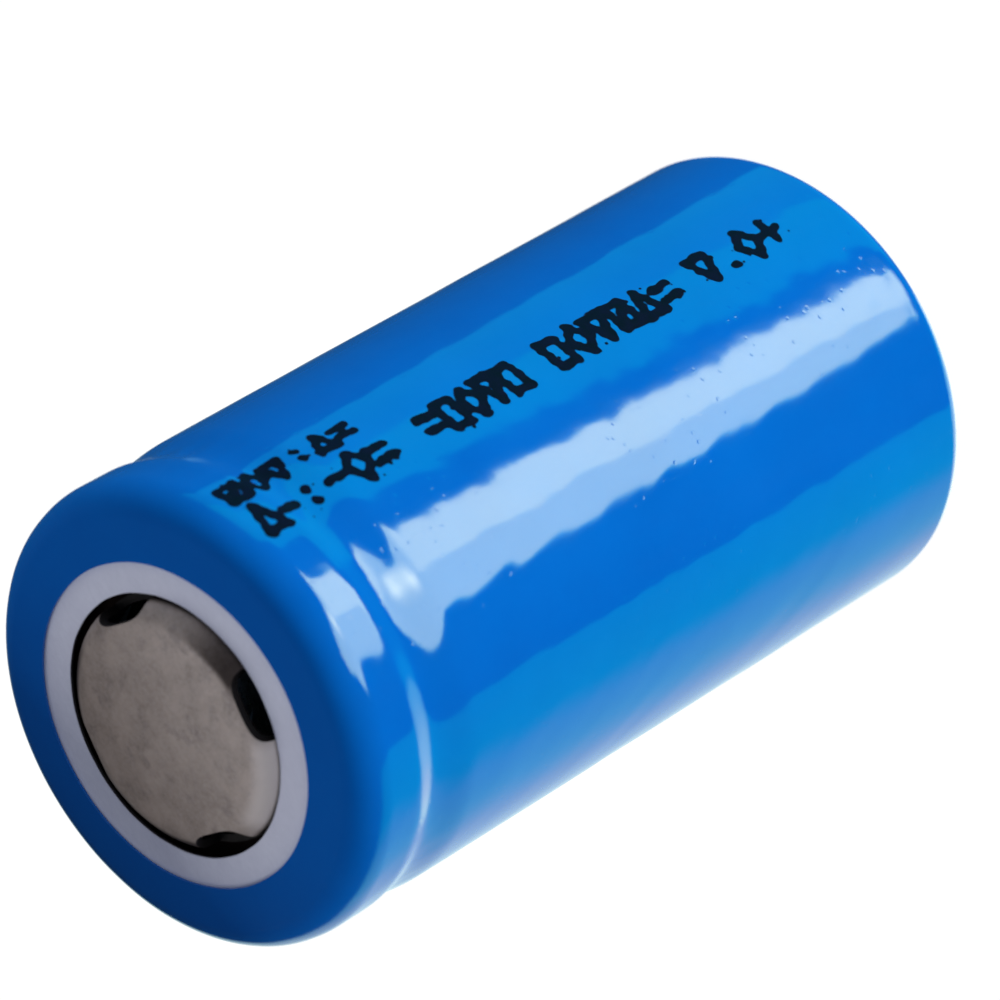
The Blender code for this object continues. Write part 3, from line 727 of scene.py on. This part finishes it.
def marks_dots(rng):
    """Centres and radii (mm) of the ink drops, as x down the cell and y round it."""
    drops = []
    for centre_deg, height, stroke, groups in ROWS:
        base = radians(centre_deg) * R - height / 2
        for top, bottom, names in groups:
            pitch = (top - bottom) / len(names)
            for i, name in enumerate(names):
                left = -top + pitch * i + pitch * 0.06 + rng.uniform(-0.05, 0.05)
                drift = rng.uniform(-0.05, 0.05)
                lean = rng.uniform(-0.03, 0.03)
                scale = height / 1.5
                for a, b in MARKS[name]:
                    ax, ay = left + a[0] * pitch * 0.88, base + a[1] * scale + drift
                    bx, by = left + b[0] * pitch * 0.88, base + b[1] * scale + drift
                    count = max(2, int(hypot(bx - ax, by - ay) / 0.15) + 1)
                    for t in np.linspace(0, 1, count):
                        x = ax + (bx - ax) * t + lean * (ay + (by - ay) * t - base)
                        y = ay + (by - ay) * t
                        drops.append((
                            x + rng.normal(0, 0.016),
                            y + rng.normal(0, 0.022),
                            stroke * rng.uniform(0.86, 1.22),
                        ))
                        if rng.random() < 0.10:
                            far, way = rng.uniform(0.9, 2.1) * stroke, rng.uniform(0, TAU)
                            drops.append((x + far * cos(way), y + far * sin(way), rng.uniform(0.03, 0.075)))
                for _ in range(2):
                    drops.append((
                        left + rng.uniform(0, 1) * pitch,
                        base + rng.uniform(-0.1, 1.1) * height,
                        rng.uniform(0.018, 0.04),
                    ))
    return np.array(drops)


def marks_field(xs, ys, rng):
    """Distance field of the drops, softly merged, on the grid of xs and ys."""
    soft = 0.045
    step = xs[1] - xs[0]
    gather = np.zeros((len(xs), len(ys)))
    for cx, cy, radius in marks_dots(rng):
        reach = radius + 0.30
        i0, i1 = np.searchsorted(xs, (cx - reach, cx + reach))
        j0, j1 = np.searchsorted(ys, (cy - reach, cy + reach))
        if i1 <= i0 or j1 <= j0:
            continue
        gap = np.hypot(xs[i0:i1, None] - cx, ys[None, j0:j1] - cy) - radius
        gather[i0:i1, j0:j1] += np.exp(-gap / soft)
    field = -soft * np.log(np.maximum(gather, 1e-9))
    x, y = np.meshgrid(xs, ys, indexing="ij")
    for _ in range(6):
        k, turn, phase = rng.uniform(1.0, 3.2), rng.uniform(0, TAU), rng.uniform(0, TAU)
        field = field + 0.010 * np.sin(k * TAU * (x * cos(turn) + y * sin(turn)) + phase)
    return field


def make_marks():
    """The jet-printed strokes as a thin closed skin on the film, cut out of a fine grid."""
    rng = np.random.default_rng(41)
    step = 0.036
    xs = np.arange(-33.5, -2.8, step)
    ys = np.arange(radians(-68.5) * R, radians(-42.5) * R, step)
    field = marks_field(xs, ys, rng)
    inside = field < INK_EDGE
    verts, faces, known, cover = [], [], {}, []

    def corner(i, j):
        key = (i, j)
        if key not in known:
            known[key] = len(verts)
            verts.append((xs[i], ys[j]))
            cover.append(min(1.0, (INK_EDGE - field[i, j]) / (2 * INK_EDGE)))
        return known[key]

    def crossing(i, j, k, m):
        key = (i, j, k, m) if (i, j) < (k, m) else (k, m, i, j)
        if key not in known:
            a, b = field[i, j] - INK_EDGE, field[k, m] - INK_EDGE
            t = min(0.95, max(0.05, a / (a - b)))
            cover.append(0.0)
            known[key] = len(verts)
            verts.append((xs[i] + (xs[k] - xs[i]) * t, ys[j] + (ys[m] - ys[j]) * t))
        return known[key]

    some = inside[:-1, :-1] | inside[1:, :-1] | inside[1:, 1:] | inside[:-1, 1:]
    for i, j in zip(*np.nonzero(some)):
        ring = [(i, j), (i + 1, j), (i + 1, j + 1), (i, j + 1)]
        face = []
        for n in range(4):
            a, b = ring[n], ring[(n + 1) % 4]
            if inside[a]:
                face.append(corner(*a))
            if inside[a] != inside[b]:
                face.append(crossing(*a, *b))
        if len(face) >= 3:
            faces.append(face)
    flat = np.asarray(verts)
    phi, z = flat[:, 1] / R, -flat[:, 0]
    line = np.asarray(film_line())
    outer_r = np.interp(z, line[:, 1][30:], line[:, 0][30:])
    wall = np.clip((outer_r - 7.6) / 1.3, 0, 1) ** 2
    r = outer_r + np.minimum(film_depth(phi, z) * wall, 0.012)
    top = np.stack([(r + 0.0045) * np.cos(phi), (r + 0.0045) * np.sin(phi), z], axis=1) * MM
    under = np.stack([(r - 0.006) * np.cos(phi), (r - 0.006) * np.sin(phi), z], axis=1) * MM
    count = len(flat)
    everything = [list(f) for f in faces] + [[v + count for v in f[::-1]] for f in faces]
    edges = {}
    for f in faces:
        for a, b in zip(f, f[1:] + f[:1]):
            if (b, a) in edges:
                del edges[(b, a)]
            else:
                edges[(a, b)] = True
    everything += [[b, a, a + count, b + count] for a, b in edges]
    mesh = mesh_of("printed_marks", np.concatenate([top, under]), everything)
    mesh.attributes.new("ink", "FLOAT", "POINT").data.foreach_set("value", cover + cover)
    bm = bmesh.new()
    bm.from_mesh(mesh)
    bmesh.ops.recalc_face_normals(bm, faces=bm.faces[:])
    bm.to_mesh(mesh)
    bm.free()
    obj = new_object("printed_marks", mesh, INK, 60.0)
    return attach(obj, "cell")


make_film()
make_washer()
make_cap()
make_can()
make_marks()


# -------------------------------------------------------- pieces inside the can
INSIDE = {
    "seal_plastic": plastic_material("seal_polypropylene", (0.66, 0.68, 0.66), (0.50, 0.52, 0.50), 0.42, 0.01, 1.0, 0.05, 0.15),
    "ptc_polymer": plastic_material("ptc_carbon_polymer", (0.040, 0.040, 0.042), (0.018, 0.018, 0.020), 0.55, 0.02),
    "disc_aluminium": metal_material("disc_aluminium_pressed", (0.78, 0.79, 0.81), (0.60, 0.61, 0.63), 0.30, spun=True),
    "tab_aluminium": metal_material("tab_aluminium_rolled", (0.80, 0.81, 0.83), (0.63, 0.64, 0.66), 0.26),
    "tab_nickel": metal_material("tab_nickel_rolled", (0.70, 0.67, 0.62), (0.52, 0.49, 0.45), 0.24),
    "tape_amber": plastic_material("tape_polyimide", (0.70, 0.30, 0.03), (0.50, 0.18, 0.015), 0.22, 0.004),
    "tape_green": plastic_material("tape_polyester", (0.06, 0.38, 0.20), (0.03, 0.25, 0.12), 0.28, 0.004),
    "fibre": plastic_material("pressed_fibre", (0.44, 0.50, 0.43), (0.28, 0.33, 0.28), 0.78, 0.03),
    "cathode_coating": plastic_material("cathode_oxide", (0.050, 0.050, 0.056), (0.020, 0.020, 0.024), 0.72, 0.02, 1.6),
    "anode_coating": plastic_material("anode_graphite", (0.085, 0.080, 0.080), (0.040, 0.037, 0.037), 0.80, 0.02, 1.6),
    "separator_film": plastic_material("separator_polyolefin", (0.84, 0.84, 0.84), (0.70, 0.70, 0.71), 0.48, 0.006, 1.2, 0.05, 0.2),
}
slot_of = {s["node"]: s["material_slot"] for s in frame["record"]["subparts"]}
for node, obj in frame["nodes"].items():
    finish = INSIDE.get(slot_of.get(node))
    if finish is not None:
        for holder in obj.material_slots:
            holder.material = finish


# -------------------------------------------------------------- floor and light
def make_floor():
    mesh = mesh_of(
        "studio_floor",
        [(-3, -3, -0.00002), (3, -3, -0.00002), (3, 3, -0.00002), (-3, 3, -0.00002)],
        [[0, 1, 2, 3]],
    )
    made, tree, shader = nodes_of("floor_pale")
    shader.inputs["Base Color"].default_value = (0.12, 0.12, 0.122, 1)
    shader.inputs["Roughness"].default_value = 0.9
    shader.inputs["Specular IOR Level"].default_value = 0.0
    shader.inputs["Emission Color"].default_value = (1.0, 1.0, 1.0, 1)
    shader.inputs["Emission Strength"].default_value = 0.985
    floor = new_object("studio_floor", mesh, made, 0)
    floor.visible_glossy = False
    floor.visible_shadow = False
    floor.visible_transmission = False
    return floor


def world_light():
    """Pale backdrop; soft light for the surfaces; and, for reflections, dark surroundings
    with a few soft light panels."""
    world = bpy.data.worlds.new("studio")
    bpy.context.scene.world = world
    world.use_nodes = True
    tree = world.node_tree
    tree.nodes.clear()
    out = tree.nodes.new("ShaderNodeOutputWorld")
    way = tree.nodes.new("ShaderNodeTexCoord").outputs["Generated"]
    parts = put(tree, "ShaderNodeSeparateXYZ", {"Vector": way})
    x, y, z = parts.outputs
    high = math(tree, "MULTIPLY", math(tree, "ARCSINE", z), 180 / pi)

    def turn_from(centre):
        c, s = cos(radians(centre)), sin(radians(centre))
        ahead = math(tree, "ADD", math(tree, "MULTIPLY", x, c), math(tree, "MULTIPLY", y, s))
        aside = math(tree, "ADD", math(tree, "MULTIPLY", x, -s), math(tree, "MULTIPLY", y, c))
        return math(tree, "MULTIPLY", math(tree, "ARCTAN2", aside, ahead), 180 / pi)

    def knots(value, points):
        """Piecewise-linear curve through (x, y) points, flat beyond them."""
        total = points[0][1]
        for (x0, y0), (x1, y1) in zip(points, points[1:]):
            part = span(tree, value, x0, x1, 0.0, y1 - y0)
            total = math(tree, "ADD", part, total)
        return total

    def panel(left, right, el, soft_az, soft_el):
        """1 inside the angles, 0 outside, with soft edges. The two sides may lean with height."""
        sides = [knots(high, e) if isinstance(e, tuple) else e for e in (left, right)]
        middle = 0.5 * (left[1][1] + right[1][1]) if isinstance(left, tuple) else (left + right) / 2
        turn = math(tree, "ADD", turn_from(middle), middle)
        past = math(tree, "SUBTRACT", turn, sides[0])
        short = math(tree, "SUBTRACT", sides[1], turn)
        a = span(tree, math(tree, "MINIMUM", past, short), -soft_az, soft_az, 0.0, 1.0, True)
        over = math(tree, "SUBTRACT", high, el[0])
        under = math(tree, "SUBTRACT", el[1], high)
        b = span(tree, math(tree, "MINIMUM", over, under), -soft_el, soft_el, 0.0, 1.0, True)
        return math(tree, "MULTIPLY", a, b)

    total = None
    for left, right, el, soft, colour in PANELS:
        total = mix(tree, panel(left, right, el, *soft), total or (0.018, 0.050, 0.062), colour)
    soft = span(tree, z, -0.1, 0.75, 0.0, 1.0, True)
    diffuse = mix(tree, soft, SKY_LOW, SKY_HIGH)
    path = tree.nodes.new("ShaderNodeLightPath")
    seen = mix(tree, path.outputs["Is Glossy Ray"], diffuse, total)
    seen = mix(tree, path.outputs["Is Camera Ray"], seen, (1.0, 1.0, 1.0))
    back = put(tree, "ShaderNodeBackground", {"Color": seen, "Strength": 1.0})
    tree.links.new(back.outputs[0], out.inputs["Surface"])


BOX_LEFT = ((-46.0, -101.0), (-40.3, -105.6), (-30.0, -114.0), (-25.0, -118.0), (-21.0, -113.5), (-14.0, -108.0))
BOX_SPLIT = ((-46.0, -92.0), (-40.3, -84.5), (-30.0, -84.0), (-20.0, -84.0))
BOX_RIGHT = ((-46.0, -75.5), (-44.3, -72.0), (-40.3, -63.5), (-35.0, -58.5), (-28.5, -76.0), (-6.0, -99.0))
CARD_LEFT = ((-46.0, -63.0), (-44.7, -58.6), (-40.3, -44.0), (-30.0, -40.0))
CARD_MID = ((-46.0, -24.0), (-44.7, -22.0), (-40.3, -18.0), (-30.0, -14.0))
CARD_RIGHT = ((-46.0, 17.0), (-44.7, 15.2), (-40.3, 8.6), (-30.0, 0.0))
def shifted(edge, by):
    return tuple((el, az + by) for el, az in edge)


PANELS = (
    # left edge, right edge (degrees of azimuth, or with height), elevations, edge softness, colour
    (shifted(BOX_LEFT, -0.8), shifted(BOX_RIGHT, 0.8), (-47.1, -6.0), (1.1, 0.6), (0.8, 3.8, 2.6)),
    (shifted(BOX_LEFT, 0.3), shifted(BOX_RIGHT, -0.3), (-46.6, -6.0), (0.6, 0.5), (6.8, 7.7, 5.0)),
    (BOX_SPLIT, shifted(BOX_RIGHT, -0.3), (-46.6, -36.0), (0.7, 2.5), (10.2, 10.3, 6.2)),
    (-90.0, -81.5, (-31.5, -27.0), (6.5, 4.8), (25.0, 21.5, 12.0)),
    (CARD_LEFT, CARD_RIGHT, (-75.0, -14.0), (1.0, 6.0), (0.03, 0.85, 0.95)),
    (CARD_LEFT, CARD_MID, (-75.0, -14.0), (1.0, 6.0), (0.03, 1.55, 1.15)),
    (-262.0, -149.0, (-75.0, -13.0), (1.0, 6.0), (0.03, 1.30, 0.95)),
    (-262.0, -184.0, (-80.0, -13.0), (8.0, 8.0), (0.42, 1.22, 1.10)),
    (-273.0, -217.0, (-80.0, -10.0), (14.0, 8.0), (0.78, 1.00, 0.98)),
    (-131.0, -60.0, (-88.0, -53.0), (6.0, 4.0), (0.02, 0.40, 0.42)),
    (-262.0, -122.0, (-88.0, -53.0), (6.0, 4.0), (0.03, 1.10, 0.95)),
    (-262.0, -138.0, (-88.0, -51.0), (4.0, 3.0), (0.90, 2.50, 1.70)),
    (-262.0, -155.0, (-88.0, -50.0), (14.0, 3.0), (1.90, 3.00, 1.90)),
    (-262.0, -188.0, (-88.0, -49.5), (14.0, 3.0), (2.50, 2.70, 1.80)),
    (48.0, 84.0, (-80.0, -44.9), (9.0, 0.7), (0.14, 0.36, 0.42)),
    (30.0, 150.0, (10.0, 80.0), (20.0, 15.0), (0.035, 0.06, 0.085)),
)
SKY_LOW = (0.86, 0.88, 0.94)
SKY_HIGH = (0.165, 0.180, 0.235)


def area_light(name, direction, size, watts, colour, distance=0.35, glossy=False):
    data = bpy.data.lights.new(name, "AREA")
    data.shape = "RECTANGLE"
    data.size, data.size_y = size
    data.energy = watts
    data.color = colour
    obj = bpy.data.objects.new(name, data)
    bpy.context.scene.collection.objects.link(obj)
    way = Vector(direction).normalized()
    obj.location = Vector((0, 0, 0.0175)) + way * distance
    obj.rotation_mode = "QUATERNION"
    obj.rotation_quaternion = way.to_track_quat("Z", "Y")
    obj.visible_glossy = glossy
    obj.visible_camera = False
    return obj


def towards(az, el):
    return (
        cos(radians(az)) * cos(radians(el)),
        sin(radians(az)) * cos(radians(el)),
        sin(radians(el)),
    )


make_floor()
world_light()
area_light("front_soft", towards(-90, -18), (0.22, 0.16), 0.8, (1.0, 1.0, 1.0))
area_light("end_soft", towards(108, 32), (0.16, 0.12), 0.36, (0.95, 0.97, 1.0))


def make_cap_glow():
    """Soft light seen only by the cap, off its mirror direction, so its sheen falls away
    towards the side away from the camera."""
    centre = Vector((0, 0, 35.0)) * MM
    way = Vector(towards(92, 57))
    data = bpy.data.lights.new("cap_glow", "AREA")
    data.shape, data.size = "SQUARE", 0.040
    data.energy, data.color = 0.0040, (1.0, 0.93, 0.90)
    obj = bpy.data.objects.new("cap_glow", data)
    bpy.context.scene.collection.objects.link(obj)
    obj.location = centre + way * 0.070
    obj.rotation_mode = "QUATERNION"
    obj.rotation_quaternion = way.to_track_quat("Z", "Y")
    obj.visible_camera = False
    only = bpy.data.collections.new("cap_glow_receivers")
    only.objects.link(bpy.data.objects["vented_cap"])
    obj.light_linking.receiver_collection = only


make_cap_glow()


def make_flag():
    """Dark card beside the positive end, out of sight: it keeps one side of the end in shade."""
    across = Vector((-sin(radians(108)), cos(radians(108)), 0))
    out = Vector((cos(radians(108)), sin(radians(108)), 0)) * 9.7
    corners = [
        (out + across * side + Vector((0, 0, z))) * MM
        for side, z in ((-16, 34.3), (16, 34.3), (16, 38.2), (-16, 38.2))
    ]
    made, tree, shader = nodes_of("flag_black")
    shader.inputs["Base Color"].default_value = (0.02, 0.02, 0.02, 1)
    flag = new_object("light_flag", mesh_of("light_flag", corners, [[0, 1, 2, 3]]), made, 0)
    flag.visible_camera = False
    flag.visible_glossy = False


make_flag()


# ------------------------------------------------------------------------ camera
def make_camera():
    """Long lens 41 degrees above the cell's waist, rolled so that the positive end
    points down to the left."""
    turn = Vector((1.258596, -2.200299, -0.999628))
    away = Vector((10.8418, -5.0060, 276.0077))
    focal = 7080.292
    world_to_camera = Matrix.Rotation(turn.length, 3, turn.normalized())
    place = -(world_to_camera.transposed() @ away) * MM
    data = bpy.data.cameras.new("product_camera")
    data.sensor_width = 36.0
    data.lens = focal / 1000.0 * 36.0
    data.clip_start, data.clip_end = 0.01, 20.0
    data.dof.use_dof = True
    aim = bpy.data.objects.new("focus_point", None)
    bpy.context.scene.collection.objects.link(aim)
    aim.location = Vector((0, -6, 14)) * MM
    data.dof.focus_object = aim
    data.dof.aperture_fstop = 105.0
    camera = bpy.data.objects.new("product_camera", data)
    bpy.context.scene.collection.objects.link(camera)
    rows = world_to_camera
    axes = Matrix((rows[0], -rows[1], -rows[2])).transposed()
    camera.matrix_world = Matrix.Translation(place) @ axes.to_4x4()
    bpy.context.scene.camera = camera
    return camera


make_camera()
bpy.context.scene.view_settings.view_transform = "Standard"
bpy.context.scene.view_settings.look = "None"
